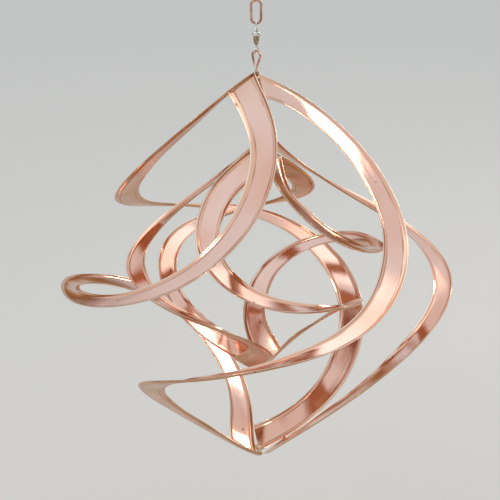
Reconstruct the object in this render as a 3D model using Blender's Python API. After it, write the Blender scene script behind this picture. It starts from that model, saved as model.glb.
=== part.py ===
"""Hanging copper wind spinner: two ribbon cages, one inside the other, that turn opposite ways.

The part hangs from the top of a chain link.  Below it come a ball bearing swivel, the hook
wire that carries the outer cage, a second swivel under the outer cage's top joint, and the
hook wire that carries the inner cage.  Each cage is four channel-section ribbons whose
square ends meet in a pinwheel joint on the spin axis, above and below.

Units are metres and Z is up.  The origin is the point where the link hangs: the underside
of its top bend.  Run with: blender --background --python part.py
"""
import math

import bmesh
import bpy
from mathutils import Euler, Matrix, Vector

MM = 0.001
TAU = 2 * math.pi
UP = Vector((0, 0, 1))

# Clearance left between pieces that touch in the real object.
GAP = 0.3 * MM

# Chain link.
LINK_WIRE = 1.0 * MM
LINK_LENGTH = 20.4 * MM
LINK_WIDTH = 9.8 * MM

# Swivel: heights are measured down from the centre of the wire at the top of its top eye.
EYE_WIRE = 0.65 * MM
TOP_EYE_RADIUS = 2.4 * MM
BOTTOM_EYE_RADIUS = 2.85 * MM
SWIVEL_LENGTH = 26.5 * MM
COLLAR_TOP = 8.4 * MM
COLLAR_BOTTOM = 12.0 * MM
COLLAR_RADIUS = 3.75 * MM
BARREL_BOTTOM = 19.0 * MM
SHOULDER = 14.3 * MM
CAVITY_RADIUS = 1.9 * MM
HEAD_RADIUS = 1.5 * MM
HEAD_THICKNESS = 0.7 * MM
BALL_RADIUS = 0.36 * MM
BALL_COUNT = 6
# Play beside, under and above the balls.
BALL_SIDE_PLAY = 0.22 * MM
BALL_LIFT = 0.1 * MM

# Hook wires.
HOOK_WIRE = 0.9 * MM
HOOK_EYE_RADIUS = 3.7 * MM
HOOK_LOWER_EYE_RADIUS = 2.9 * MM
# How far the outer hook's shank shows above its cage, and how far its lower eye hangs below.
OUTER_NECK = 2.0 * MM
LOWER_EYE_DROP = 14.0 * MM
# The inner hook's neck below its eye, and its riveted foot below the inner cage's top.
INNER_NECK = 15.0 * MM
INNER_FOOT = 9.5 * MM

# Ribbons, common to both cages.
SHEET = 0.8 * MM
AXIS_CLEARANCE = 1.9 * MM
LIP_RISE = 2.0 * MM
LIP_BAND = 0.17
RIBBON_STEPS = 54
# The flare grows with this power of the distance from the far point.
FLARE_POWER = 11

# The directions, in degrees about Z, that the link, the swivels and the hooks face.
LINK_FACING = 0
UPPER_EYES_FACING = (90, 55)
OUTER_HOOK_FACING = -35
LOWER_EYES_FACING = (55, 55)
INNER_HOOK_FACING = -35

COPPER = ("copper_sheet", (0.93, 0.58, 0.45), 0.18)
COPPER_WIRE = ("copper_wire", (0.72, 0.38, 0.27), 0.28)
NICKEL = ("nickel_plate", (0.78, 0.76, 0.71), 0.25)
STEEL = ("bearing_steel", (0.62, 0.63, 0.64), 0.15)
BRAZE = ("braze", (0.86, 0.6, 0.38), 0.4)


class Cage:
    """Driving dimensions of one cage of four ribbons.

    Seen from above, a ribbon is a rounded ring that starts and ends on the spin axis:
    plan = mean radius, then how far it is squashed, egg-shaped and squared.
    fall = its height from end to end, then how the slope varies along it.
    tilt = degrees that its outer edge is lifted at the ends, then how that varies.
    width = width at the far point, extra width at the ends, and extra width halfway.
    skew = how far the upper half stands out beyond the lower half, and how far halfway sinks.
    flare = degrees of tilt and extra width that come in close to the ends only.
    reach = how far the square ends run past the spin axis, towards the neighbour's edge.
    hand = 1 where the ribbons run clockwise on the way down, seen from above, -1 otherwise.
    """

    def __init__(self, name, centre, hand, plan, fall, tilt, width, skew, flare, reach,
                 far_points):
        self.name = name
        self.centre = centre * MM
        self.hand = hand
        self.plan = [value * MM for value in plan]
        self.fall = [value * MM for value in fall]
        self.tilt = [math.radians(value) for value in tilt]
        self.width = [value * MM for value in width]
        self.skew = [value * MM for value in skew]
        self.flare = (math.radians(flare[0]), flare[1] * MM)
        self.reach = reach * MM
        self.far_points = far_points

    @property
    def top(self):
        return self.centre + self.fall[0] / 2

    @property
    def bottom(self):
        return self.centre - self.fall[0] / 2


OUTER = Cage(
    "outer", centre=-234.2, hand=1,
    plan=(97.8, -13.8, 7.0, -2.4),
    fall=(354.6, -32.7, -9.7, 6.1, -2.5),
    tilt=(-16.0, 0.3, -22.0, 14.3, -9.4),
    width=(14.6, 9.6, 2.3),
    skew=(-1.8, -1.6),
    flare=(50.0, 2.0),
    reach=-1.6,
    far_points={"left": 191.6, "front": 280.2, "right": 13.2, "back": 102})
INNER = Cage(
    "inner", centre=-220.8, hand=-1,
    plan=(63.1, -6.7, 3.3, -1.2),
    fall=(207.8, -21.7, -4.2, 2.7, -1.2),
    tilt=(38.3, -29.5, -10.4, 10.2, -6.6),
    width=(15.7, 9.2, -2.8),
    skew=(0, 0),
    flare=(0, 0),
    reach=0.25,
    far_points={"right": 23.3, "front": 293.3, "left": 203.3, "back": 113.3})

# Heights that follow from the dimensions above.
LINK_BOTTOM = 2 * LINK_WIRE - LINK_LENGTH + LINK_WIRE
UPPER_SWIVEL = LINK_BOTTOM + LINK_WIRE + GAP + EYE_WIRE
UPPER_HOOK = UPPER_SWIVEL - SWIVEL_LENGTH + EYE_WIRE + GAP + HOOK_WIRE
OUTER_LOWER_EYE = OUTER.top - LOWER_EYE_DROP
LOWER_SWIVEL = OUTER_LOWER_EYE - HOOK_LOWER_EYE_RADIUS + HOOK_WIRE + GAP + EYE_WIRE
INNER_HOOK = LOWER_SWIVEL - SWIVEL_LENGTH + EYE_WIRE + GAP + HOOK_WIRE


def clear_scene():
    for old in list(bpy.data.objects):
        bpy.data.objects.remove(old, do_unlink=True)


def material(finish):
    """One Principled material per finish, made the first time it is asked for."""
    name, colour, roughness = finish
    if name in bpy.data.materials:
        return bpy.data.materials[name]
    made = bpy.data.materials.new(name)
    made.use_nodes = True
    shader = made.node_tree.nodes["Principled BSDF"]
    shader.inputs["Base Color"].default_value = (*colour, 1)
    shader.inputs["Metallic"].default_value = 1
    shader.inputs["Roughness"].default_value = roughness
    made.diffuse_color = (*colour, 1)
    return made


def add_empty(name, height, parent=None):
    empty = bpy.data.objects.new(name, None)
    bpy.context.collection.objects.link(empty)
    empty.empty_display_size = 0.01
    place(empty, height, 0, parent)
    return empty


def place(thing, height, facing, parent):
    """Put an object on the spin axis, turned about Z, under its parent."""
    thing.location.z = height
    thing.rotation_euler = Euler((0, 0, math.radians(facing)))
    if parent is not None:
        thing.parent = parent
        thing.location.z -= world_height(parent)


def world_height(thing):
    total = 0
    while thing is not None:
        total += thing.location.z
        thing = thing.parent
    return total


def add_mesh(name, bm, finish, height, facing, parent):
    bmesh.ops.recalc_face_normals(bm, faces=bm.faces)
    mesh = bpy.data.meshes.new(name)
    bm.to_mesh(mesh)
    bm.free()
    mesh.materials.append(material(finish))
    thing = bpy.data.objects.new(name, mesh)
    bpy.context.collection.objects.link(thing)
    place(thing, height, facing, parent)
    return thing


def join_rings(bm, rings, closed):
    """Skin a list of vertex rings; an open skin gets flat end caps."""
    pairs = list(zip(rings, rings[1:]))
    if closed:
        pairs.append((rings[-1], rings[0]))
    for near, far in pairs:
        for i in range(len(near)):
            j = (i + 1) % len(near)
            bm.faces.new((near[i], near[j], far[j], far[i]))
    if not closed:
        bm.faces.new(list(reversed(rings[0])))
        bm.faces.new(rings[-1])


def sweep(points, radii, sides=10, closed=False):
    """A round wire along points, with a radius for each point."""
    count = len(points)
    bm = bmesh.new()
    rings = []
    side = None
    for i, point in enumerate(points):
        before = points[i - 1] if closed or i else point
        after = points[(i + 1) % count] if closed or i < count - 1 else point
        ahead = (after - before).normalized()
        if side is None:
            side = ahead.orthogonal().normalized()
        side = (side - ahead * side.dot(ahead)).normalized()
        other = ahead.cross(side)
        ring = []
        for k in range(sides):
            angle = TAU * k / sides
            offset = side * math.cos(angle) + other * math.sin(angle)
            ring.append(bm.verts.new(point + offset * radii[i]))
        rings.append(ring)
    join_rings(bm, rings, closed)
    return bm


def lathe(profile, segments=24):
    """Turn a closed (radius, height) outline about Z; the outline stays off the axis."""
    bm = bmesh.new()
    rings = []
    for k in range(segments):
        angle = TAU * k / segments
        rings.append([bm.verts.new((r * math.cos(angle), r * math.sin(angle), z)) for r, z in profile])
    join_rings(bm, rings, closed=True)
    return bm


def arc(centre_x, centre_z, radius, start, end, steps):
    """Points of an arc in the XZ plane; angles in degrees, 0 along +X and 90 up."""
    points = []
    for i in range(steps + 1):
        angle = math.radians(start + (end - start) * i / steps)
        points.append(Vector((centre_x + radius * math.cos(angle), 0, centre_z + radius * math.sin(angle))))
    return points


def add_link(parent):
    """Closed oval chain link; its top bend hangs on whatever holds the part up."""
    bend = LINK_WIDTH / 2 - LINK_WIRE
    top_centre = LINK_WIRE - bend
    bottom_centre = LINK_BOTTOM + bend
    points = arc(0, top_centre, bend, 0, 180, 10) + arc(0, bottom_centre, bend, 180, 360, 10)
    bm = sweep(points, [LINK_WIRE] * len(points), closed=True)
    return add_mesh("hanging_link", bm, COPPER_WIRE, 0, LINK_FACING, parent)


def head_path(shank, head_at, direction):
    """The end of a shank with a flat head: the same axis points with their radii."""
    far = head_at + direction * HEAD_THICKNESS
    points = [Vector((0, 0, far)), Vector((0, 0, head_at)), Vector((0, 0, head_at - direction * 0.05 * MM))]
    return points, [HEAD_RADIUS, HEAD_RADIUS, shank]


def add_top_eye(prefix, top, facing, parent):
    """Wire eye whose tail is wound round the neck, with a head locked inside the collar."""
    centre = -TOP_EYE_RADIUS
    points, radii = head_path(EYE_WIRE, -COLLAR_TOP - 0.9 * MM, -1)
    wrap = 2 * EYE_WIRE + GAP
    neck = centre - TOP_EYE_RADIUS - wrap
    points.append(Vector((0, 0, neck)))
    points += arc(0, centre, TOP_EYE_RADIUS, -60, 215, 16)
    turns = 1.4
    steps = 18
    winding_top = centre - TOP_EYE_RADIUS - 0.3 * MM
    pitch = 2 * EYE_WIRE + 0.15 * MM
    for i in range(steps + 1):
        angle = math.pi + TAU * turns * i / steps
        height = winding_top - pitch * turns * i / steps
        points.append(Vector((wrap * math.cos(angle), wrap * math.sin(angle), height)))
    radii += [EYE_WIRE] * (len(points) - len(radii))
    bm = sweep(points, radii, sides=8)
    return add_mesh(prefix + "_swivel_top_eye", bm, NICKEL, top, facing, parent)


def add_collar(prefix, top, parent):
    """Domed collar that closes the barrel and holds the top eye's head."""
    hole = EYE_WIRE + GAP
    waist = 2.6 * MM
    middle = (COLLAR_TOP + COLLAR_BOTTOM) / 2
    profile = [(hole, -COLLAR_TOP), (2.2 * MM, -COLLAR_TOP), (3.3 * MM, -COLLAR_TOP - 0.6 * MM),
               (COLLAR_RADIUS, -middle + 0.5 * MM), (COLLAR_RADIUS, -middle - 0.5 * MM),
               (3.3 * MM, -COLLAR_BOTTOM + 0.5 * MM), (waist, -COLLAR_BOTTOM),
               (CAVITY_RADIUS, -COLLAR_BOTTOM), (CAVITY_RADIUS, -COLLAR_TOP - 0.6 * MM),
               (hole, -COLLAR_TOP - 0.6 * MM)]
    return add_mesh(prefix + "_swivel_collar", lathe(profile), NICKEL, top, 0, parent)


def add_barrel(prefix, top, parent):
    """Tapered barrel; the balls roll on the shoulder inside it."""
    hole = EYE_WIRE + GAP
    start = -COLLAR_BOTTOM - GAP
    profile = [(CAVITY_RADIUS, start), (2.6 * MM, start), (2.5 * MM, -SHOULDER - 0.4 * MM),
               (2.0 * MM, -BARREL_BOTTOM + 1.6 * MM), (1.7 * MM, -BARREL_BOTTOM + 0.3 * MM),
               (1.4 * MM, -BARREL_BOTTOM), (hole, -BARREL_BOTTOM), (hole, -SHOULDER),
               (CAVITY_RADIUS, -SHOULDER)]
    return add_mesh(prefix + "_swivel_barrel", lathe(profile), NICKEL, top, 0, parent)


def add_balls(prefix, top, parent):
    """The ring of bearing balls between the shoulder and the turning head."""
    ring = CAVITY_RADIUS - BALL_RADIUS - BALL_SIDE_PLAY
    for k in range(BALL_COUNT):
        angle = TAU * k / BALL_COUNT
        spot = Vector((ring * math.cos(angle), ring * math.sin(angle), -SHOULDER + BALL_LIFT + BALL_RADIUS))
        bm = bmesh.new()
        bmesh.ops.create_icosphere(bm, subdivisions=2, radius=BALL_RADIUS, matrix=Matrix.Translation(spot))
        add_mesh(f"{prefix}_swivel_ball_{k + 1}", bm, STEEL, top, 0, parent)


def add_bottom_eye(prefix, top, facing, parent):
    """Turning wire eye; its head rides on the balls."""
    centre = BOTTOM_EYE_RADIUS - SWIVEL_LENGTH
    head = -SHOULDER + 2 * (BALL_RADIUS + BALL_LIFT)
    points, radii = head_path(EYE_WIRE, head, 1)
    points.append(Vector((0, 0, centre + BOTTOM_EYE_RADIUS + 1.1 * MM)))
    points += arc(0, centre, BOTTOM_EYE_RADIUS, 62, -242, 20)
    radii += [EYE_WIRE] * (len(points) - len(radii))
    bm = sweep(points, radii, sides=8)
    return add_mesh(prefix + "_swivel_bottom_eye", bm, NICKEL, top, facing, parent)


def teardrop(top, neck):
    """Upper eye of a hook wire: up from the neck on the axis, over, and back beside it."""
    centre = top - HOOK_EYE_RADIUS
    lean = math.degrees(math.asin(HOOK_EYE_RADIUS / (centre - neck)))
    tail = Vector((-2 * HOOK_WIRE - 0.25 * MM, 0, neck + 2.6 * MM))
    return arc(0, centre, HOOK_EYE_RADIUS, -lean, 180 + lean * 0.8, 16) + [tail]


def add_outer_hook(parent):
    """One wire: teardrop eye above the outer cage, straight shank, round eye below it."""
    lower = arc(0, OUTER_LOWER_EYE, HOOK_LOWER_EYE_RADIUS, 125, 415, 18)
    lower_neck = Vector((0, 0, OUTER_LOWER_EYE + HOOK_LOWER_EYE_RADIUS + 1.5 * MM))
    neck = OUTER.top + OUTER_NECK
    points = lower + [lower_neck, Vector((0, 0, neck))] + teardrop(UPPER_HOOK, neck)
    points = [point - Vector((0, 0, UPPER_HOOK)) for point in points]
    bm = sweep(points, [HOOK_WIRE] * len(points))
    return add_mesh("outer_hook_wire", bm, COPPER_WIRE, UPPER_HOOK, OUTER_HOOK_FACING, parent)


def add_inner_hook(parent):
    """Teardrop eye and a shank that ends in a head under the inner cage's top joint."""
    foot = INNER.top - INNER_FOOT
    neck = INNER_HOOK - INNER_NECK
    points = [Vector((0, 0, foot)), Vector((0, 0, foot + 1 * MM)), Vector((0, 0, foot + 1.05 * MM)),
              Vector((0, 0, neck))] + teardrop(INNER_HOOK, neck)
    radii = [2 * HOOK_WIRE, 2 * HOOK_WIRE] + [HOOK_WIRE] * (len(points) - 2)
    points = [point - Vector((0, 0, INNER_HOOK)) for point in points]
    bm = sweep(points, radii)
    return add_mesh("inner_hook_wire", bm, COPPER_WIRE, INNER_HOOK, INNER_HOOK_FACING, parent)


def add_top_braze(cage, parent):
    """Ring of braze round the shank, inside the tent that the four ribbon ends make."""
    hole = HOOK_WIRE + GAP
    peak = -3.4 * MM
    profile = [(hole, peak), (hole + 0.5 * MM, peak - 0.1 * MM), (4.2 * MM, peak - 3.1 * MM),
               (3.4 * MM, peak - 3.9 * MM), (hole, peak - 3.9 * MM)]
    return add_mesh(cage.name + "_top_braze", lathe(profile, 20), BRAZE, cage.top, 0, parent)


def add_bottom_rivet(cage, parent):
    """Rivet through the square opening of the bottom joint, headed inside and outside."""
    stem = 1.15 * MM
    points = []
    radii = []
    for radius, height in ((0.5 * MM, -1.5 * MM), (stem, -1.1 * MM), (stem, 3.4 * MM),
                           (3.6 * MM, 6.6 * MM), (2.6 * MM, 7.6 * MM), (0.9 * MM, 8.0 * MM)):
        points.append(Vector((0, 0, height)))
        radii.append(radius)
    bm = sweep(points, radii, sides=16)
    return add_mesh(cage.name + "_bottom_rivet", bm, BRAZE, cage.bottom, 0, parent)


def harmonics(terms, angle, wave, first):
    """Sum of terms times wave(first * angle), wave((first + 1) * angle) and so on."""
    return sum(term * wave((first + i) * angle) for i, term in enumerate(terms))


def plan_point(cage, angle):
    """The outer edge from above; the angle is about the ring's own centre, pi on the axis."""
    radius = cage.plan[0] + harmonics(cage.plan[1:], angle, math.cos, 2)
    radius += cage.skew[0] * math.sin(2 * angle)
    at_axis = cage.plan[0] + harmonics(cage.plan[1:], math.pi, math.cos, 2)
    centre = at_axis + AXIS_CLEARANCE
    return Vector((centre + radius * math.cos(angle), cage.hand * radius * math.sin(angle), 0))


def channel(width):
    """Points across a ribbon as (distance from outer edge, rise, slope): two curled lips."""
    band = LIP_BAND * width
    half = []
    for part in (0, 0.45, 1):
        rise = LIP_RISE * ((1 - part) ** 2 - 1)
        slope = -2 * LIP_RISE * (1 - part) / band
        half.append((part * band, rise, slope))
    return half + [(width - across, rise, -slope) for across, rise, slope in reversed(half)]


def ribbon_ring(bm, cage, angle):
    """Vertices of one upright cross-section of a ribbon."""
    small = 0.001
    edge = plan_point(cage, angle)
    ahead = plan_point(cage, angle - small) - plan_point(cage, angle + small)
    outward = (ahead.cross(UP) * -cage.hand).normalized()
    edge.z = cage.fall[0] / 2 * angle / math.pi + harmonics(cage.fall[1:], angle, math.sin, 1)
    edge.z += cage.skew[1] * (1 - math.cos(2 * angle))
    share = abs(angle / math.pi) ** FLARE_POWER
    tilt = cage.tilt[0] * angle / math.pi + harmonics(cage.tilt[1:], angle, math.sin, 1)
    tilt += math.copysign(cage.flare[0] * share, angle)
    inward = -(outward * math.cos(tilt) + UP * math.sin(tilt))
    raised = UP * math.cos(tilt) - outward * math.sin(tilt)
    width = (cage.width[0] + cage.width[1] * (1 - math.cos(angle)) / 2
             + cage.width[2] * (1 - math.cos(2 * angle)) / 2 + cage.flare[1] * share)
    faces = {1: [], -1: []}
    for across, rise, slope in channel(width):
        normal = Vector((-slope, 1)).normalized()
        for side in faces:
            u = across + side * normal.x * SHEET / 2
            v = rise + side * normal.y * SHEET / 2
            faces[side].append(bm.verts.new(edge + inward * u + raised * v))
    return faces[1] + faces[-1][::-1]


def add_ribbon(cage, side, facing, parent):
    """One ribbon from the top joint round to the bottom joint, with square-cut ends."""
    bm = bmesh.new()
    radius = cage.plan[0] + harmonics(cage.plan[1:], math.pi, math.cos, 2)
    end = math.pi + cage.reach / radius
    rings = []
    for i in range(RIBBON_STEPS + 1):
        rings.append(ribbon_ring(bm, cage, end - 2 * end * i / RIBBON_STEPS))
    join_rings(bm, rings, closed=False)
    bmesh.ops.triangulate(bm, faces=[face for face in bm.faces if len(face.verts) == 4])
    return add_mesh(f"{cage.name}_ribbon_{side}", bm, COPPER, cage.centre, facing, parent)


def add_swivel(prefix, top, facings, body_parent, eye_parent):
    add_top_eye(prefix, top, facings[0], body_parent)
    add_collar(prefix, top, body_parent)
    add_barrel(prefix, top, body_parent)
    add_balls(prefix, top, body_parent)
    add_bottom_eye(prefix, top, facings[1], eye_parent)


def build():
    clear_scene()
    hang_point = add_empty("hang_point", 0)
    add_link(hang_point)
    upper_swing = add_empty("upper_swing", LINK_BOTTOM, hang_point)
    outer_spin = add_empty("outer_spin", UPPER_SWIVEL - SWIVEL_LENGTH, upper_swing)
    outer_swing = add_empty("outer_swing", UPPER_SWIVEL - SWIVEL_LENGTH, outer_spin)
    add_swivel("upper", UPPER_SWIVEL, UPPER_EYES_FACING, upper_swing, outer_spin)
    add_outer_hook(outer_swing)
    add_top_braze(OUTER, outer_swing)
    for side, facing in OUTER.far_points.items():
        add_ribbon(OUTER, side, facing, outer_swing)
    add_bottom_rivet(OUTER, outer_swing)

    lower_contact = OUTER_LOWER_EYE - HOOK_LOWER_EYE_RADIUS
    lower_swing = add_empty("lower_swing", lower_contact, outer_swing)
    inner_spin = add_empty("inner_spin", LOWER_SWIVEL - SWIVEL_LENGTH, lower_swing)
    inner_swing = add_empty("inner_swing", LOWER_SWIVEL - SWIVEL_LENGTH, inner_spin)
    add_swivel("lower", LOWER_SWIVEL, LOWER_EYES_FACING, lower_swing, inner_spin)
    add_inner_hook(inner_swing)
    add_top_braze(INNER, inner_swing)
    for side, facing in INNER.far_points.items():
        add_ribbon(INNER, side, facing, inner_swing)
    add_bottom_rivet(INNER, inner_swing)


build()
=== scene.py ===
"""The looks of the hanging copper wind spinner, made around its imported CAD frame.

Every ribbon, wire and swivel shell of the frame is replaced by a finer piece of the same
size and place; only the bearing balls keep their CAD meshes.  Lengths are in metres and
angles in degrees unless a name says otherwise.
"""
import math

import bmesh
import bpy
import numpy as np
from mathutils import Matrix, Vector


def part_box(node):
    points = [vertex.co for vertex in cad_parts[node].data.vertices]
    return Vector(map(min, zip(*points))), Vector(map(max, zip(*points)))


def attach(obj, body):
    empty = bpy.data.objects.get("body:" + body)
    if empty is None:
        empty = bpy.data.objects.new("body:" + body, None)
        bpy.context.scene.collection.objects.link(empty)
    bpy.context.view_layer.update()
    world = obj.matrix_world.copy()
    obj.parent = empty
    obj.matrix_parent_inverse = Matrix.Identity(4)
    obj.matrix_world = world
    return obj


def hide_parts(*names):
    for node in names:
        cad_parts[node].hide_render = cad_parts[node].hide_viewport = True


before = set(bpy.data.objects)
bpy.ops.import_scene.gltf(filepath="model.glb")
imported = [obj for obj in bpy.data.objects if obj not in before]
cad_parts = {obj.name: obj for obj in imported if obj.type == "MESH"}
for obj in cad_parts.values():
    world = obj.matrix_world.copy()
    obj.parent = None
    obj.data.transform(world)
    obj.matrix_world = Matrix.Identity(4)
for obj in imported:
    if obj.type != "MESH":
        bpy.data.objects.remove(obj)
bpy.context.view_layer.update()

MM = 0.001
TAU = 2 * math.pi
UP = Vector((0, 0, 1))

# Clearance between touching pieces.
GAP = 0.3 * MM

# Chain link, swivel and hook wires, as in the part's own source.
LINK_WIRE = 1.0 * MM
LINK_LENGTH = 20.4 * MM
LINK_WIDTH = 9.8 * MM
LINK_FACING = 0
EYE_WIRE = 0.65 * MM
TOP_EYE_RADIUS = 2.4 * MM
BOTTOM_EYE_RADIUS = 2.85 * MM
SWIVEL_LENGTH = 26.5 * MM
COLLAR_TOP = 8.4 * MM
COLLAR_BOTTOM = 12.0 * MM
COLLAR_RADIUS = 3.75 * MM
BARREL_BOTTOM = 19.0 * MM
SHOULDER = 14.3 * MM
CAVITY_RADIUS = 1.9 * MM
BALL_RADIUS = 0.36 * MM
HOOK_WIRE = 0.9 * MM
HOOK_EYE_RADIUS = 3.7 * MM
HOOK_LOWER_EYE_RADIUS = 2.9 * MM
HOOK_FACING = -35
OUTER_NECK = 2.0 * MM
LOWER_EYE_DROP = 14.0 * MM
INNER_NECK = 15.0 * MM
INNER_FOOT = 9.5 * MM
BALL_LIFT = 0.1 * MM
UPPER_EYES_FACING = (90, 55)
LOWER_EYES_FACING = (55, 55)

# Ribbons, common to both cages.
SHEET = 0.8 * MM
AXIS_CLEARANCE = 1.9 * MM
LIP_RISE = 2.0 * MM
LIP_BAND = 0.17
FLARE_POWER = 11
RIBBON_STEPS = 300
LIP_POINTS = 9
BED_POINTS = 6
EDGE_POINTS = 3
ANGLE_STEP = 0.001

# How finely the other pieces are divided, and the angle that counts as a sharp edge.
CURVE_STEPS = 5
WIRE_SIDES = 20
LATHE_SEGMENTS = 64
SHARP_EDGE = math.radians(50)

# Colours of the metals, and of the reflection, highlight and shade painted on the copper.
PINK_COPPER = (0.94, 0.57, 0.44, 1)
ROSE_COPPER = (0.89, 0.45, 0.31, 1)
HEATED_COPPER = (0.80, 0.47, 0.27, 1)
# Painted reflection: orange laid on the curled lips.
LIP_REFLECTION_ORANGE = (0.86, 0.40, 0.22, 1)
# Painted highlight: pale cream along the ribbons' edges.
EDGE_HIGHLIGHT_CREAM = (1.0, 0.84, 0.66, 1)
# Painted shade: brown on the ribbons' undersides.
UNDERSIDE_SHADE_BROWN = (0.52, 0.25, 0.11, 1)
# Painted shade: a dark line along each lip's fold.
FOLD_SHADE_COLOUR = (0.34, 0.13, 0.07, 1)
FRECKLE = (0.22, 0.11, 0.07, 1)
DARK_WIRE = (0.52, 0.25, 0.17, 1)
RUBBED_WIRE = (0.86, 0.50, 0.38, 1)
CLEAN_NICKEL = (0.90, 0.89, 0.86, 1)
TARNISHED_NICKEL = (0.62, 0.55, 0.42, 1)
WORN_NICKEL = (0.46, 0.39, 0.26, 1)
BROWN_NICKEL = (0.24, 0.17, 0.10, 1)
BALL_STEEL = (0.68, 0.68, 0.69, 1)
WORN_STEEL = (0.42, 0.40, 0.37, 1)
GOLDEN_BRAZE = (0.90, 0.66, 0.42, 1)
FLUX_STAIN = (0.38, 0.23, 0.13, 1)

# The studio.  WORLD_STOPS gives the surroundings' colour by the sine of the elevation.
FLOOR = -0.60
FLOOR_HALF_SIZE = 60
FLOOR_COLOUR = (0.72, 0.62, 0.53, 1)
WORLD_STRENGTH = 0.85
WORLD_STOPS = (
    (0.0, (0.46, 0.26, 0.10, 1)),
    (0.14, (0.26, 0.14, 0.06, 1)),
    (0.30, (0.80, 0.94, 1.08, 1)),
    (1.0, (0.94, 1.14, 1.32, 1)))


class Cage:
    """One cage of four ribbons, with the same driving dimensions as the part's source.

    plan, fall and width are in millimetres and tilt is in degrees; each starts with its mean
    value and goes on with how it varies along the ribbon.  skew (millimetres) is how far the
    upper half stands out beyond the lower half, and how far halfway sinks; flare (degrees,
    millimetres) is the tilt and width that come in close to the ends only; reach (millimetres)
    is how far the ends run past the spin axis.
    """

    def __init__(self, name, body, centre, hand, plan, fall, tilt, width, skew, flare, reach,
                 far_points):
        self.name = name
        self.body = body
        self.centre = centre * MM
        self.hand = hand
        self.plan = [value * MM for value in plan]
        self.fall = [value * MM for value in fall]
        self.tilt = [math.radians(value) for value in tilt]
        self.width = [value * MM for value in width]
        self.skew = [value * MM for value in skew]
        self.flare = (math.radians(flare[0]), flare[1] * MM)
        self.reach = reach * MM
        self.far_points = far_points
        self.top = self.centre + self.fall[0] / 2
        self.bottom = self.centre - self.fall[0] / 2


OUTER = Cage(
    "outer", "outer_cage", centre=-234.2, hand=1,
    plan=(97.8, -13.8, 7.0, -2.4),
    fall=(354.6, -32.7, -9.7, 6.1, -2.5),
    tilt=(-16.0, 0.3, -22.0, 14.3, -9.4),
    width=(14.6, 9.6, 2.3),
    skew=(-1.8, -1.6),
    flare=(50.0, 2.0),
    reach=-1.6,
    far_points={"left": 191.6, "front": 280.2, "right": 13.2, "back": 102})
INNER = Cage(
    "inner", "inner_cage", centre=-220.8, hand=-1,
    plan=(63.1, -6.7, 3.3, -1.2),
    fall=(207.8, -21.7, -4.2, 2.7, -1.2),
    tilt=(38.3, -29.5, -10.4, 10.2, -6.6),
    width=(15.7, 9.2, -2.8),
    skew=(0, 0),
    flare=(0, 0),
    reach=0.25,
    far_points={"right": 23.3, "front": 293.3, "left": 203.3, "back": 113.3})


# ---------------------------------------------------------------- materials

class Finish:
    """A metal material and short ways to add and join its nodes."""

    def __init__(self, name):
        self.made = bpy.data.materials.new(name)
        self.made.use_nodes = True
        self.tree = self.made.node_tree
        self.shader = self.tree.nodes["Principled BSDF"]
        self.shader.inputs["Metallic"].default_value = 1
        self.place = self.add("TexCoord").outputs["Object"]

    def add(self, kind, **settings):
        """Add a shader node, with its own settings such as its operation."""
        node = self.tree.nodes.new("ShaderNode" + kind)
        for name, value in settings.items():
            setattr(node, name, value)
        return node

    def feed(self, socket, value):
        """Set a socket to a number or colour, or link it to an output."""
        if isinstance(value, bpy.types.NodeSocket):
            self.tree.links.new(value, socket)
        else:
            socket.default_value = value

    def attribute(self, name):
        """A value that the mesh carries at each point."""
        return self.add("Attribute", attribute_name=name).outputs["Fac"]

    def noise(self, scale, detail, vector=None):
        """Soft noise from 0 to 1; scale is in repeats per metre."""
        node = self.add("TexNoise")
        self.feed(node.inputs["Vector"], vector or self.place)
        self.feed(node.inputs["Scale"], scale)
        self.feed(node.inputs["Detail"], detail)
        return node.outputs["Fac"]

    def spots(self, scale, size):
        """1 inside small round spots, 0 elsewhere; size is a share of the spots' spacing."""
        node = self.add("TexVoronoi")
        self.feed(node.inputs["Vector"], self.place)
        self.feed(node.inputs["Scale"], scale)
        return self.span(node.outputs["Distance"], size, size * 0.4)

    def math(self, operation, first, second=0.5):
        """Arithmetic on one or two values."""
        node = self.add("Math", operation=operation)
        self.feed(node.inputs[0], first)
        self.feed(node.inputs[1], second)
        return node.outputs[0]

    def span(self, value, low, high, to_low=0.0, to_high=1.0):
        """Map low..high to to_low..to_high, with soft ends."""
        node = self.add("MapRange", interpolation_type="SMOOTHSTEP")
        for socket, number in zip(node.inputs[:5], (value, low, high, to_low, to_high)):
            self.feed(socket, number)
        return node.outputs[0]

    def mix(self, share, first, second):
        """Blend from the first colour to the second as share goes from 0 to 1."""
        node = self.add("Mix", data_type="RGBA")
        self.feed(node.inputs[0], share)
        self.feed(node.inputs[6], first)
        self.feed(node.inputs[7], second)
        return node.outputs[2]

    def streaks(self, along, across, run, spacing):
        """Noise drawn out along the ribbon: run and spacing are repeats per metre and per width."""
        node = self.add("CombineXYZ")
        self.feed(node.inputs[0], self.math("MULTIPLY", along, run))
        self.feed(node.inputs[1], self.math("MULTIPLY", across, spacing))
        return self.noise(1.0, 3.0, node.outputs[0])

    def bump(self, height, distance, strength, under=None):
        """Relief of a given depth in metres, on top of another relief if there is one."""
        node = self.add("Bump")
        self.feed(node.inputs["Height"], height)
        self.feed(node.inputs["Distance"], distance)
        self.feed(node.inputs["Strength"], strength)
        if under is not None:
            self.feed(node.inputs["Normal"], under)
        return node.outputs["Normal"]

    def finish(self, colour, roughness, normal):
        """Join the last three outputs to the shader and return the material."""
        self.feed(self.shader.inputs["Base Color"], colour)
        self.feed(self.shader.inputs["Roughness"], roughness)
        self.feed(self.shader.inputs["Normal"], normal)
        return self.made


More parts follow.
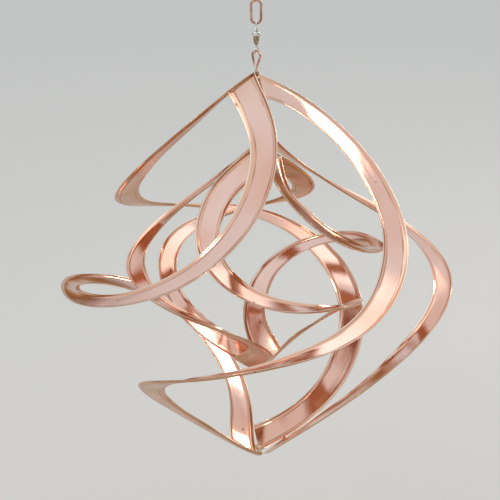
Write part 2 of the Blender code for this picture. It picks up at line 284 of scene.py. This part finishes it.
def polished_copper():
    """Rolled copper sheet: slightly wavy, bright above and rougher underneath, with painted shade that
    makes the undersides browner and darkens each lip's fold, a painted orange reflection on the lips and a
    painted highlight along the edges.
    """
    made = Finish("polished_copper")
    across, along = made.attribute("across"), made.attribute("along")
    under, end = made.attribute("under"), made.attribute("end_distance")

    tone = made.span(made.noise(14, 2), 0.35, 0.68)
    colour = made.mix(tone, PINK_COPPER, ROSE_COPPER)
    near_end = made.span(end, 28 * MM, 4 * MM, 0.0, 0.6)
    heat = made.math("MULTIPLY", near_end, made.noise(60, 3))
    colour = made.mix(heat, colour, HEATED_COPPER)

    side = made.math("ABSOLUTE", made.math("SUBTRACT", across, 0.5))
    # Painted reflection: the curled lips are tinted orange in place of warm light reflected in them.
    lip = made.math("MULTIPLY", made.span(side, 0.48 - LIP_BAND, 0.56 - LIP_BAND), 0.6)
    colour = made.mix(lip, colour, LIP_REFLECTION_ORANGE)
    # Painted shade: a dark line, broken into patches, along the fold where each lip meets the flat bed.
    # The same mask makes the copper rougher there.
    fold = made.math("ABSOLUTE", made.math("SUBTRACT", side, 0.5 - LIP_BAND))
    patches = made.span(made.noise(45, 3), 0.3, 0.7)
    painted_fold_shade = made.math("MULTIPLY", made.span(fold, 0.045, 0.0), patches)
    colour = made.mix(made.math("MULTIPLY", painted_fold_shade, 0.85), colour, FOLD_SHADE_COLOUR)

    # Painted highlight: a pale cream line near each edge of the ribbon, in place of light caught on the
    # edge.
    rim = made.math("MULTIPLY", made.span(side, 0.455, 0.485), 0.8)
    colour = made.mix(rim, colour, EDGE_HIGHLIGHT_CREAM)

    # Painted shade: the undersides are made browner, by an amount that varies with noise.
    painted_underside_shade = made.span(made.noise(32, 4), 0.25, 0.75, 0.55, 1.0)
    colour = made.mix(made.math("MULTIPLY", under, painted_underside_shade), colour, UNDERSIDE_SHADE_BROWN)

    sprinkled = made.span(made.noise(21, 1), 0.60, 0.66)
    freckles = made.math("MULTIPLY", made.spots(95, 0.16), sprinkled)
    colour = made.mix(made.math("MULTIPLY", freckles, 0.85), colour, FRECKLE)

    brushed = made.streaks(along, across, 9, 55)
    roughness = made.span(brushed, 0.3, 0.7, 0.08, 0.14)
    roughness = made.math("ADD", roughness, made.math("MULTIPLY", painted_fold_shade, 0.2))
    roughness = made.math("ADD", roughness, made.math("MULTIPLY", under, 0.12))

    wavy = made.bump(made.noise(30, 1), 1.2 * MM, 0.5)
    normal = made.bump(brushed, 0.05 * MM, 0.6, wavy)
    return made.finish(colour, roughness, normal)


def copper_wire():
    """Drawn copper wire that has darkened, with brighter rubbed patches."""
    made = Finish("aged_copper_wire")
    rubbed = made.span(made.noise(160, 3), 0.4, 0.65)
    colour = made.mix(rubbed, DARK_WIRE, RUBBED_WIRE)
    roughness = made.span(made.noise(420, 2), 0.3, 0.7, 0.22, 0.40)
    return made.finish(colour, roughness, made.bump(made.noise(900, 2), 0.06 * MM, 0.5))


def nickel_plate(name, clean, tarnished):
    """Plating with fine turning lines round the axis, tarnished in patches."""
    made = Finish(name)
    tarnish = made.span(made.noise(240, 3), 0.42, 0.72)
    colour = made.mix(tarnish, clean, tarnished)
    lines = made.add("TexWave", wave_type="BANDS", bands_direction="Z")
    made.feed(lines.inputs["Vector"], made.place)
    made.feed(lines.inputs["Scale"], 900)
    made.feed(lines.inputs["Distortion"], 1.5)
    roughness = made.span(made.noise(500, 2), 0.3, 0.7, 0.14, 0.26)
    return made.finish(colour, roughness, made.bump(lines.outputs["Fac"], 0.02 * MM, 0.4))


def bearing_steel():
    """Ground steel balls with a thin film of oil and small wear marks."""
    made = Finish("bearing_steel_finish")
    worn = made.span(made.noise(2600, 3), 0.4, 0.7)
    colour = made.mix(worn, BALL_STEEL, WORN_STEEL)
    roughness = made.span(made.noise(3200, 2), 0.3, 0.7, 0.08, 0.24)
    return made.finish(colour, roughness, made.bump(made.noise(4000, 2), 0.01 * MM, 0.4))


def braze_metal():
    """Golden brazing metal: rippled, with darker flux stains in its hollows."""
    made = Finish("brazing_metal")
    ripple = made.noise(380, 3)
    stain = made.span(ripple, 0.55, 0.35, 0.0, 0.8)
    colour = made.mix(stain, GOLDEN_BRAZE, FLUX_STAIN)
    roughness = made.span(made.noise(300, 2), 0.3, 0.7, 0.28, 0.50)
    return made.finish(colour, roughness, made.bump(ripple, 0.35 * MM, 0.8))


# ---------------------------------------------------------------- meshes

def add_piece(name, rings, closed, material, node, body, attributes=None):
    """Skin rings of points into one closed piece that stands for a CAD node and rides its body.

    rings is an array of (ring, point, xyz); attributes maps a name to its value at each point.
    """
    steps, around = len(rings), len(rings[0])
    faces = []
    for i in range(steps if closed else steps - 1):
        near, far = i * around, (i + 1) % steps * around
        for j in range(around):
            k = (j + 1) % around
            faces.append((near + j, near + k, far + k, far + j))
    if not closed:
        faces += cap(around, 0, attributes) + cap(around, (steps - 1) * around, attributes)
    mesh = bpy.data.meshes.new(name)
    mesh.from_pydata(np.reshape(rings, (-1, 3)).tolist(), [], faces)
    for title, values in (attributes or {}).items():
        mesh.attributes.new(title, "FLOAT", "POINT").data.foreach_set("value", np.ravel(values))
    bm = bmesh.new()
    bm.from_mesh(mesh)
    bmesh.ops.recalc_face_normals(bm, faces=bm.faces)
    bm.to_mesh(mesh)
    bm.free()
    mesh.shade_smooth()
    mesh.set_sharp_from_angle(angle=SHARP_EDGE)
    mesh.materials.append(material)
    piece = bpy.data.objects.new(name, mesh)
    bpy.context.collection.objects.link(piece)
    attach(piece, body)
    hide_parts(node)


def cap(around, first, attributes):
    """Faces that close a ring: one polygon for a round wire, a strip of quads for a ribbon."""
    if not attributes:
        return [tuple(range(first, first + around))]
    across = (around - 2 * EDGE_POINTS) // 2
    top = list(range(first, first + across))
    bottom = [first + 2 * across + EDGE_POINTS - 1 - i for i in range(across)]
    strip = [(top[i], top[i + 1], bottom[i + 1], bottom[i]) for i in range(across - 1)]
    inner_edge = tuple(range(top[-1], bottom[-1] + 1))
    outer_edge = (*range(bottom[0], first + around), first)
    return strip + [inner_edge, outer_edge]


def spun(points, facing):
    """Points turned about the spin axis by an angle in degrees."""
    turn = math.radians(facing)
    cosine, sine = math.cos(turn), math.sin(turn)
    matrix = np.array([[cosine, sine, 0], [-sine, cosine, 0], [0, 0, 1]])
    return np.asarray(points) @ matrix


def smooth(points):
    """A Catmull-Rom curve through points."""
    points = np.array([tuple(point) for point in points], float)
    last = len(points) - 1
    made = []
    for i in range(last):
        p0, p1, p2, p3 = (points[min(max(i + k, 0), last)] for k in (-1, 0, 1, 2))
        for t in np.arange(CURVE_STEPS) / CURVE_STEPS:
            made.append(0.5 * (2 * p1 + (p2 - p0) * t + (2 * p0 - 5 * p1 + 4 * p2 - p3) * t ** 2
                               + (3 * p1 - p0 - 3 * p2 + p3) * t ** 3))
    made.append(points[-1])
    return [Vector(point) for point in made]


def tube(points, radii, sides=WIRE_SIDES, closed=False):
    """Rings of a round wire along points, with a radius for each point."""
    count = len(points)
    rings = []
    side = None
    for i, point in enumerate(points):
        before = points[i - 1] if closed or i else point
        after = points[(i + 1) % count] if closed or i < count - 1 else point
        ahead = (after - before).normalized()
        if side is None:
            side = ahead.orthogonal().normalized()
        side = (side - ahead * side.dot(ahead)).normalized()
        other = ahead.cross(side)
        angles = [TAU * k / sides for k in range(sides)]
        rings.append([point + (side * math.cos(a) + other * math.sin(a)) * radii[i] for a in angles])
    return rings


def rounded_end(points, radii, radius, steps=3):
    """Add a domed cut end, a third of the wire's radius deep, after the last point."""
    ahead = (points[-1] - points[-2]).normalized()
    tip = points[-1]
    for i in range(1, steps + 1):
        angle = math.pi / 2 * i / (steps + 0.4)
        points.append(tip + ahead * radius * 0.35 * math.sin(angle))
        radii.append(radius * math.cos(angle))


def lathe(profile):
    """Rings of a closed (radius, height) outline turned about Z."""
    angles = [TAU * k / LATHE_SEGMENTS for k in range(LATHE_SEGMENTS)]
    return [[(r * math.cos(a), r * math.sin(a), z) for r, z in profile] for a in angles]


def rounded(profile, radius, steps=3):
    """A closed outline with each corner cut to a small arc, for edges that catch the light."""
    made = []
    count = len(profile)
    for i in range(count):
        before, here, after = (Vector(profile[(i + k) % count]) for k in (-1, 0, 1))
        back, ahead = before - here, after - here
        reach = min(radius, back.length * 0.4, ahead.length * 0.4)
        start, stop = here + back.normalized() * reach, here + ahead.normalized() * reach
        for t in (k / steps for k in range(steps + 1)):
            made.append(tuple(start * (1 - t) ** 2 + here * 2 * t * (1 - t) + stop * t ** 2))
    return made


def arc(centre, radius, start, end, steps):
    """Points of an arc in the XZ plane, centred on the axis; 0 degrees is +X and 90 is up."""
    points = []
    for i in range(steps + 1):
        angle = math.radians(start + (end - start) * i / steps)
        points.append(Vector((radius * math.cos(angle), 0, centre + radius * math.sin(angle))))
    return points


def lifted(rings, height=0):
    """Rings as one array, raised by a height."""
    return np.array(rings, float).reshape(len(rings), len(rings[0]), 3) + np.array((0, 0, height))


# ---------------------------------------------------------------- link, swivels and hooks

def add_link():
    """Closed oval chain link with a butt weld halfway down one side."""
    bend = LINK_WIDTH / 2 - LINK_WIRE
    top_centre = LINK_WIRE - bend
    bottom_centre = 3 * LINK_WIRE - LINK_LENGTH + bend
    weld = (top_centre + bottom_centre) / 2
    side = [Vector((-bend, 0, weld + step * 0.22 * MM)) for step in range(6, -7, -1)]
    points = arc(top_centre, bend, 0, 180, 36) + side + arc(bottom_centre, bend, 180, 360, 36)
    radii = []
    for point in points:
        off_weld = math.hypot(point.x + bend, point.z - weld) / (0.3 * MM)
        swelling, groove = 0.06 * math.exp(-(off_weld / 2) ** 2), 0.12 * math.exp(-off_weld ** 2)
        radii.append(LINK_WIRE * (1 + swelling - groove))
    rings = spun(lifted(tube(points, radii, 24, closed=True)), LINK_FACING)
    add_piece("hanging_link_wire", rings, True, MATERIALS["wire"], "hanging_link", "link")


def add_top_eye(prefix, top, facing, body):
    """Wire eye with its tail wound round the neck, above the collar."""
    centre = -TOP_EYE_RADIUS
    wrap = 2 * EYE_WIRE + GAP
    neck = centre - TOP_EYE_RADIUS - wrap
    foot = -COLLAR_TOP - 0.9 * MM
    route = [Vector((0, 0, foot)), Vector((0, 0, (foot + neck) / 2)), Vector((0, 0, neck))]
    route += arc(centre, TOP_EYE_RADIUS, -60, 215, 16)
    turns, steps = 1.4, 18
    winding_top = centre - TOP_EYE_RADIUS - 0.3 * MM
    pitch = 2 * EYE_WIRE + 0.15 * MM
    for i in range(steps + 1):
        angle = math.pi + TAU * turns * i / steps
        height = winding_top - pitch * turns * i / steps
        route.append(Vector((wrap * math.cos(angle), wrap * math.sin(angle), height)))
    points = smooth(route)
    radii = [EYE_WIRE] * len(points)
    rounded_end(points, radii, EYE_WIRE)
    rings = spun(lifted(tube(points, radii), top), facing)
    add_piece(f"{prefix}_swivel_top_eye_wire", rings, False, MATERIALS["nickel"],
              f"{prefix}_swivel_top_eye", body)


def add_collar(prefix, top, body):
    """Domed collar with a rolled bead round its middle."""
    hole = EYE_WIRE + GAP
    inside = COLLAR_TOP + 0.6 * MM
    dome = []
    for angle in range(90, -1, -10):
        turn = math.radians(angle)
        dome.append((2.0 * MM + 1.35 * MM * math.cos(turn),
                     -COLLAR_TOP - 1.15 * MM * (1 - math.sin(turn))))
    middle = -(COLLAR_TOP + COLLAR_BOTTOM) / 2
    bead = []
    for angle in range(75, -76, -15):
        turn = math.radians(angle)
        bead.append((COLLAR_RADIUS - 0.55 * MM * (1 - math.cos(turn)),
                     middle + 0.75 * MM * math.sin(turn)))
    skirt = [(3.25 * MM, middle - 0.95 * MM), (3.1 * MM, -COLLAR_BOTTOM + 0.25 * MM),
             (2.7 * MM, -COLLAR_BOTTOM)]
    cavity = [(CAVITY_RADIUS, -COLLAR_BOTTOM), (CAVITY_RADIUS, -inside), (hole, -inside)]
    profile = rounded([(hole, -COLLAR_TOP)] + dome + bead + skirt + cavity, 0.12 * MM, 2)
    rings = lifted(lathe(profile), top)
    add_piece(f"{prefix}_swivel_collar_shell", rings, True, MATERIALS["nickel"],
              f"{prefix}_swivel_collar", body)


def add_barrel(prefix, top, body):
    """Tapered barrel with a groove under the collar and a rolled-in lower lip."""
    hole = EYE_WIRE + GAP
    start = -COLLAR_BOTTOM - GAP
    profile = [(CAVITY_RADIUS, start), (2.6 * MM, start), (2.6 * MM, start - 0.5 * MM),
               (2.35 * MM, start - 0.8 * MM), (2.35 * MM, start - 1.1 * MM), (2.55 * MM, start - 1.4 * MM),
               (2.45 * MM, -SHOULDER - 0.5 * MM), (2.0 * MM, -BARREL_BOTTOM + 1.6 * MM),
               (1.75 * MM, -BARREL_BOTTOM + 0.5 * MM), (1.35 * MM, -BARREL_BOTTOM), (hole, -BARREL_BOTTOM),
               (hole, -SHOULDER), (CAVITY_RADIUS, -SHOULDER)]
    rings = lifted(lathe(rounded(profile, 0.25 * MM)), top)
    add_piece(f"{prefix}_swivel_barrel_shell", rings, True, MATERIALS["worn nickel"],
              f"{prefix}_swivel_barrel", body)


def add_bottom_eye(prefix, top, facing, body):
    """Turning wire eye below the barrel; its flat head rides on the balls inside."""
    centre = BOTTOM_EYE_RADIUS - SWIVEL_LENGTH
    head = -SHOULDER + 2 * (BALL_RADIUS + BALL_LIFT)
    head_radius, head_top = 1.5 * MM, head + 0.7 * MM
    route = [Vector((0, 0, head - 0.05 * MM)), Vector((0, 0, (head + centre) / 2)),
             Vector((0, 0, centre + BOTTOM_EYE_RADIUS + 1.1 * MM))]
    route += arc(centre, BOTTOM_EYE_RADIUS, 62, -242, 20)
    points = smooth(route)
    radii = [EYE_WIRE] * len(points)
    rounded_end(points, radii, EYE_WIRE)
    points = [Vector((0, 0, head_top)), Vector((0, 0, head))] + points
    radii = [head_radius, head_radius] + radii
    rings = spun(lifted(tube(points, radii), top), facing)
    add_piece(f"{prefix}_swivel_bottom_eye_wire", rings, False, MATERIALS["nickel"],
              f"{prefix}_swivel_bottom_eye", body)


def teardrop(top, neck):
    """Upper eye of a hook wire: up from the neck, over, and back down beside it."""
    centre = top - HOOK_EYE_RADIUS
    lean = math.degrees(math.asin(HOOK_EYE_RADIUS / (centre - neck)))
    tail = Vector((-2 * HOOK_WIRE - 0.25 * MM, 0, neck + 2.6 * MM))
    return arc(centre, HOOK_EYE_RADIUS, -lean, 180 + lean * 0.8, 16) + [tail]


def add_outer_hook(upper, lower_eye):
    """One wire: teardrop eye, straight shank through the top joint, round eye below it."""
    neck = OUTER.top + OUTER_NECK
    route = arc(lower_eye, HOOK_LOWER_EYE_RADIUS, 125, 415, 18)
    route.append(Vector((0, 0, lower_eye + HOOK_LOWER_EYE_RADIUS + 1.5 * MM)))
    route += [Vector((0, 0, neck))] + teardrop(upper, neck)
    points = smooth(route[::-1])
    radii = [HOOK_WIRE] * len(points)
    rounded_end(points, radii, HOOK_WIRE)
    points.reverse()
    rounded_end(points, radii, HOOK_WIRE)
    rings = spun(lifted(tube(points, radii)), HOOK_FACING)
    add_piece("outer_hook_bent_wire", rings, False, MATERIALS["wire"], "outer_hook_wire", OUTER.body)


def add_inner_hook(upper):
    """Teardrop eye and a shank that ends in a head under the inner cage's top joint."""
    foot = INNER.top - INNER_FOOT
    neck = upper - INNER_NECK
    route = [Vector((0, 0, foot + 1.05 * MM)), Vector((0, 0, (foot + neck) / 2)), Vector((0, 0, neck))]
    points = smooth(route + teardrop(upper, neck))
    radii = [HOOK_WIRE] * len(points)
    rounded_end(points, radii, HOOK_WIRE)
    head = 2 * HOOK_WIRE
    underside = [Vector((0, 0, foot + rise)) for rise in (0, 0.15 * MM, 1 * MM)]
    points = underside + points
    radii = [head * 0.85, head, head] + radii
    rings = spun(lifted(tube(points, radii)), HOOK_FACING)
    add_piece("inner_hook_bent_wire", rings, False, MATERIALS["wire"], "inner_hook_wire", INNER.body)


def add_swivel(prefix, facings, body, eye_body):
    """A ball bearing swivel: fixed eye, collar and barrel, and the eye that turns below them."""
    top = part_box(f"{prefix}_swivel_top_eye")[1].z - EYE_WIRE
    add_top_eye(prefix, top, facings[0], body)
    add_collar(prefix, top, body)
    add_barrel(prefix, top, body)
    add_bottom_eye(prefix, top, facings[1], eye_body)


# ---------------------------------------------------------------- cages

def harmonics(terms, angle, wave, first):
    """Sum of terms times wave(first * angle), wave((first + 1) * angle) and so on."""
    return sum(term * wave((first + i) * angle) for i, term in enumerate(terms))


def radius_at_axis(cage):
    """Radius of a ribbon's ring, seen from above, where it meets the spin axis."""
    return cage.plan[0] + harmonics(cage.plan[1:], math.pi, math.cos, 2)


def plan_points(cage, angle):
    """The outer edge from above; angle is about the ring's own centre, pi on the axis."""
    radius = cage.plan[0] + harmonics(cage.plan[1:], angle, np.cos, 2)
    radius += cage.skew[0] * np.sin(2 * angle)
    centre = radius_at_axis(cage) + AXIS_CLEARANCE
    x, y = centre + radius * np.cos(angle), cage.hand * radius * np.sin(angle)
    return np.stack((x, y, 0 * angle), axis=1)


def channel(width):
    """Cross-sections as (distance from outer edge, height, slope), for two curled lips and a bed."""
    width = width[:, None]
    band = LIP_BAND * width
    part = np.linspace(0, 1, LIP_POINTS)[None, :]
    across = part * band
    rise = LIP_RISE * ((1 - part) ** 2 - 1) + 0 * width
    slope = -2 * LIP_RISE * (1 - part) / band
    bed = band + (width - 2 * band) * np.linspace(0, 1, BED_POINTS + 2)[None, 1:-1]
    return (np.concatenate((across, bed, width - across[:, ::-1]), axis=1),
            np.concatenate((rise, 0 * bed - LIP_RISE, rise[:, ::-1]), axis=1),
            np.concatenate((slope, 0 * bed, -slope[:, ::-1]), axis=1))


def section_loop(width):
    """Closed outline of each cross-section: upper face, inner edge, lower face, outer edge.

    Returns (distance from outer edge, height, share of width, underside share) per point.
    """
    across, rise, slope = channel(width)
    length = np.hypot(1, slope)
    normal = np.stack((-slope / length, 1 / length), axis=2) * SHEET / 2
    tangent = np.stack((1 / length, slope / length), axis=2) * SHEET / 2
    middle = np.stack((across, rise), axis=2)
    turns = np.pi * np.arange(1, EDGE_POINTS + 1) / (EDGE_POINTS + 1)
    inner = [middle[:, -1] + normal[:, -1] * math.cos(a) + tangent[:, -1] * math.sin(a) for a in turns]
    outer = [middle[:, 0] + normal[:, 0] * math.cos(a) - tangent[:, 0] * math.sin(a) for a in turns[::-1]]
    loop = np.concatenate((middle + normal, np.stack(inner, axis=1), (middle - normal)[:, ::-1],
                           np.stack(outer, axis=1)), axis=1)
    flat, edge = np.zeros(len(across[0])), np.linspace(0, 1, EDGE_POINTS + 2)[1:-1]
    under = np.concatenate((flat, edge, flat + 1, edge[::-1]))
    return loop, loop[:, :, 0] / width[:, None], under + 0 * width[:, None]


def ribbon(cage):
    """Rings of a ribbon whose far point lies along +X, and the values its material needs."""
    end = math.pi + cage.reach / radius_at_axis(cage)
    angle = np.linspace(end, -end, RIBBON_STEPS + 1)
    edge = plan_points(cage, angle)
    ahead = plan_points(cage, angle - ANGLE_STEP) - plan_points(cage, angle + ANGLE_STEP)
    outward = np.cross(ahead, UP) * -cage.hand
    outward /= np.linalg.norm(outward, axis=1)[:, None]
    edge[:, 2] = (cage.fall[0] / 2 * angle / math.pi + harmonics(cage.fall[1:], angle, np.sin, 1)
                  + cage.skew[1] * (1 - np.cos(2 * angle)))
    share = np.abs(angle / math.pi) ** FLARE_POWER
    tilt = (cage.tilt[0] * angle / math.pi + harmonics(cage.tilt[1:], angle, np.sin, 1)
            + cage.flare[0] * share * np.sign(angle))[:, None]
    inward = -(outward * np.cos(tilt) + np.array(UP) * np.sin(tilt))
    raised = np.array(UP) * np.cos(tilt) - outward * np.sin(tilt)
    width = (cage.width[0] + cage.width[1] * (1 - np.cos(angle)) / 2
             + cage.width[2] * (1 - np.cos(2 * angle)) / 2 + cage.flare[1] * share)
    loop, across, under = section_loop(width)
    rings = edge[:, None] + inward[:, None] * loop[:, :, :1] + raised[:, None] * loop[:, :, 1:]
    steps = np.linalg.norm(np.diff(edge, axis=0), axis=1)
    along = np.concatenate(([0], np.cumsum(steps)))
    to_end = np.minimum(along, along[-1] - along)
    ones = np.ones(loop.shape[:2])
    return rings, {"across": across, "along": along[:, None] * ones,
                   "end_distance": to_end[:, None] * ones, "under": under}


def add_ribbons(cage):
    """The four ribbons of a cage: the same ribbon, turned about the spin axis."""
    rings, values = ribbon(cage)
    for side, facing in cage.far_points.items():
        placed = spun(rings, facing) + np.array((0, 0, cage.centre))
        node = f"{cage.name}_ribbon_{side}"
        add_piece(node + "_sheet", placed, False, MATERIALS["copper"], node, cage.body, values)


def add_top_braze(cage):
    """Ring of braze round the shank, inside the tent of the four ribbon ends."""
    hole = HOOK_WIRE + GAP
    peak = -3.4 * MM
    profile = [(hole, peak), (hole + 0.5 * MM, peak - 0.1 * MM), (2.6 * MM, peak - 1.4 * MM),
               (4.1 * MM, peak - 3.1 * MM), (3.5 * MM, peak - 3.8 * MM), (hole, peak - 3.9 * MM)]
    rings = lifted(lathe(rounded(profile, 0.4 * MM, 4)), cage.top)
    add_piece(f"{cage.name}_top_braze_ring", rings, True, MATERIALS["braze"],
              f"{cage.name}_top_braze", cage.body)


def add_bottom_rivet(cage):
    """Rivet through the square opening of the bottom joint, domed inside and outside."""
    outline = [(0.35, -1.5), (0.75, -1.4), (1.05, -1.15), (1.15, -0.8), (1.15, 1.5), (1.15, 3.4),
               (2.4, 5.0), (3.55, 6.5), (3.6, 6.8), (3.3, 7.2), (2.6, 7.6), (1.7, 7.9), (0.7, 8.0)]
    points = [Vector((0, 0, height * MM)) for radius, height in outline]
    radii = [radius * MM for radius, height in outline]
    rings = lifted(tube(points, radii, 40), cage.bottom)
    add_piece(f"{cage.name}_bottom_rivet_head", rings, False, MATERIALS["braze"],
              f"{cage.name}_bottom_rivet", cage.body)


# ---------------------------------------------------------------- studio

def add_floor():
    """A wide pale floor, well below the hanging spinner."""
    bm = bmesh.new()
    bmesh.ops.create_grid(bm, x_segments=4, y_segments=4, size=FLOOR_HALF_SIZE)
    mesh = bpy.data.meshes.new("studio_floor")
    bm.to_mesh(mesh)
    bm.free()
    made = bpy.data.materials.new("studio_floor")
    made.use_nodes = True
    shader = made.node_tree.nodes["Principled BSDF"]
    shader.inputs["Base Color"].default_value = FLOOR_COLOUR
    shader.inputs["Roughness"].default_value = 0.9
    mesh.materials.append(made)
    floor = bpy.data.objects.new("studio_floor", mesh)
    floor.location.z = FLOOR
    bpy.context.collection.objects.link(floor)


def add_light(name, spot, size, power, colour):
    """A square soft box that faces the middle of the spinner."""
    light = bpy.data.lights.new(name, "AREA")
    light.size = size
    light.energy = power
    light.color = colour
    box = bpy.data.objects.new(name, light)
    box.location = spot
    ahead = Vector((0, 0, OUTER.centre)) - Vector(spot)
    box.rotation_euler = ahead.to_track_quat("-Z", "Y").to_euler()
    bpy.context.collection.objects.link(box)


def add_world():
    """Plain soft surroundings: brown low down, rising smoothly to a bright, slightly cool top."""
    world = bpy.data.worlds.new("studio")
    world.use_nodes = True
    tree = world.node_tree
    place = tree.nodes.new("ShaderNodeTexCoord")
    split = tree.nodes.new("ShaderNodeSeparateXYZ")
    ramp = tree.nodes.new("ShaderNodeValToRGB")
    tree.links.new(place.outputs["Generated"], split.inputs[0])
    tree.links.new(split.outputs["Z"], ramp.inputs[0])
    tree.links.new(ramp.outputs["Color"], tree.nodes["Background"].inputs["Color"])
    tree.nodes["Background"].inputs["Strength"].default_value = WORLD_STRENGTH
    elements = ramp.color_ramp.elements
    elements.remove(elements[1])
    elements[0].position, elements[0].color = WORLD_STOPS[0]
    for position, colour in WORLD_STOPS[1:]:
        elements.new(position).color = colour
    bpy.context.scene.world = world


def show_plain_colours():
    """Show the scene's colours as they are, without a film-like curve."""
    bpy.context.scene.view_settings.view_transform = "Standard"


def add_camera():
    """Looks down at the middle of the outer cage from in front."""
    elevation, distance, roll = math.radians(24.35), 1.258, -0.3
    centre = Vector((0, 0, OUTER.centre))
    data = bpy.data.cameras.new("camera")
    data.sensor_width = 36
    data.lens = 106.6
    data.shift_x = -0.015
    data.shift_y = 0.0468
    camera = bpy.data.objects.new("camera", data)
    camera.location = centre + distance * Vector((0, -math.cos(elevation), math.sin(elevation)))
    camera.rotation_euler = (centre - camera.location).to_track_quat("-Z", "Y").to_euler()
    camera.rotation_euler.rotate_axis("Z", math.radians(roll))
    bpy.context.collection.objects.link(camera)
    bpy.context.scene.camera = camera


# ---------------------------------------------------------------- build

MATERIALS = {
    "copper": polished_copper(),
    "wire": copper_wire(),
    "steel": bearing_steel(),
    "nickel": nickel_plate("nickel_plate_finish", CLEAN_NICKEL, TARNISHED_NICKEL),
    "worn nickel": nickel_plate("worn_nickel_finish", WORN_NICKEL, BROWN_NICKEL),
    "braze": braze_metal()}

add_camera()
add_link()
add_swivel("upper", UPPER_EYES_FACING, "upper_swivel_body", "upper_swivel_eye")
add_swivel("lower", LOWER_EYES_FACING, "lower_swivel_body", "lower_swivel_eye")
add_outer_hook(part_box("outer_hook_wire")[1].z - HOOK_WIRE, OUTER.top - LOWER_EYE_DROP)
add_inner_hook(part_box("inner_hook_wire")[1].z - HOOK_WIRE)
for cage in (OUTER, INNER):
    add_ribbons(cage)
    add_top_braze(cage)
    add_bottom_rivet(cage)
for name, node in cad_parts.items():
    if "_ball_" in name:
        for slot in node.material_slots:
            slot.material = MATERIALS["steel"]

show_plain_colours()
add_floor()
add_world()
add_light("overhead", spot=(0.1, 0.35, 1.1), size=1.0, power=2, colour=(0.90, 0.96, 1.0))
add_light("key", spot=(-0.9, -1.0, 0.9), size=0.3, power=3.5, colour=(1.0, 0.93, 0.84))
add_light("rim", spot=(1.2, 0.7, 0.5), size=0.3, power=3.5, colour=(1.0, 0.95, 0.90))
